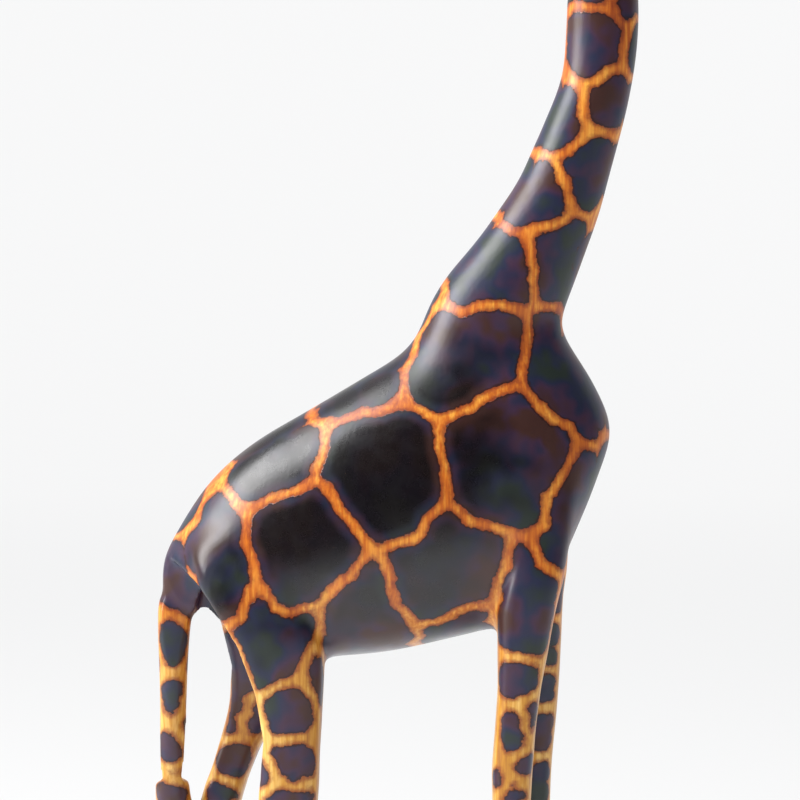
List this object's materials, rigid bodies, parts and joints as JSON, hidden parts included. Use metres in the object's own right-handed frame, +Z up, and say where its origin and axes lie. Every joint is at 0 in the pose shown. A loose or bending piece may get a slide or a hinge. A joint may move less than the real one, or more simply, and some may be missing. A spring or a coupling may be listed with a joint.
{
  "type": "carved giraffe statue",
  "caption": "Slim standing giraffe carved in waxed hardwood with burnt dark patches, in mid-stride, its tail joined to a hind leg; stands as an ornament on a shelf or table.",
  "frame": {"origin": "on the surface that the soles stand on, under the middle of the figure's bounding box", "axes": "+X the way the giraffe faces, +Y to its left, +Z up"},
  "size_m": [0.1367, 0.0438, 0.3528],
  "materials": {
    "burnt_wood": "waxed and hand polished, burnt near-black patches between bare orange-brown lines",
    "ear_wood": "waxed, burnt dark on the back with a bare inner face",
    "horn_wood": "waxed, bare shaft with a burnt dark knob",
    "eye_bead": "glossy black bead"
  },
  "bodies": {
    "root": {"torso": "burnt_wood", "neck": "burnt_wood", "head": "burnt_wood", "front_left_leg": "burnt_wood", "front_right_leg": "burnt_wood", "hind_left_leg": "burnt_wood", "hind_right_leg": "burnt_wood", "tail": "burnt_wood", "left_ear": "ear_wood", "right_ear": "ear_wood", "left_horn": "horn_wood", "right_horn": "horn_wood", "left_eye": "eye_bead", "right_eye": "eye_bead"}
  },
  "joints": []
}
